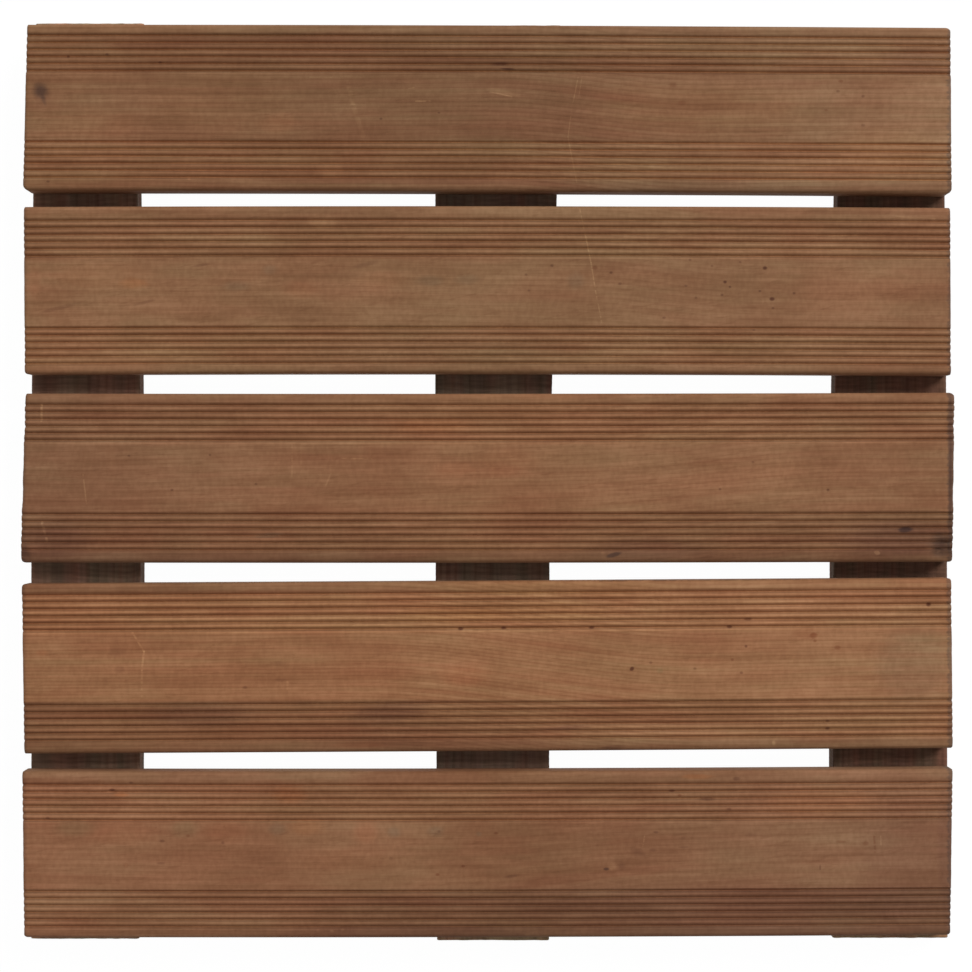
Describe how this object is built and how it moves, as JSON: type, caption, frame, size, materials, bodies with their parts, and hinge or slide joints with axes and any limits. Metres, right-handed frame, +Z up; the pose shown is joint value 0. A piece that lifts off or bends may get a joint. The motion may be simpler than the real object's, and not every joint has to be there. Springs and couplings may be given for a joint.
{
  "type": "wooden deck tile",
  "caption": "Square garden floor tile of grooved softwood boards laid side by side on flat cross battens, with drainage gaps between the boards.",
  "frame": {"origin": "middle of the tile's footprint, on the surface that the battens stand on", "axes": "X along the boards, Y along the battens towards the back board, Z up through the walking surface"},
  "size_m": [0.5038, 0.5012, 0.032],
  "materials": {
    "board_wood": "planed and grooved softwood, pressure-treated brown, matt",
    "batten_wood": "rough-sawn softwood, pressure-treated brown, matt",
    "zinc_wire": "galvanised wire, dull"
  },
  "bodies": {
    "root": {"back_board": "board_wood", "back_inner_board": "board_wood", "middle_board": "board_wood", "front_inner_board": "board_wood", "front_board": "board_wood", "left_batten": "batten_wood", "middle_batten": "batten_wood", "right_batten": "batten_wood", "left_batten_staples": "zinc_wire", "middle_batten_staples": "zinc_wire", "right_batten_staples": "zinc_wire"}
  },
  "joints": []
}
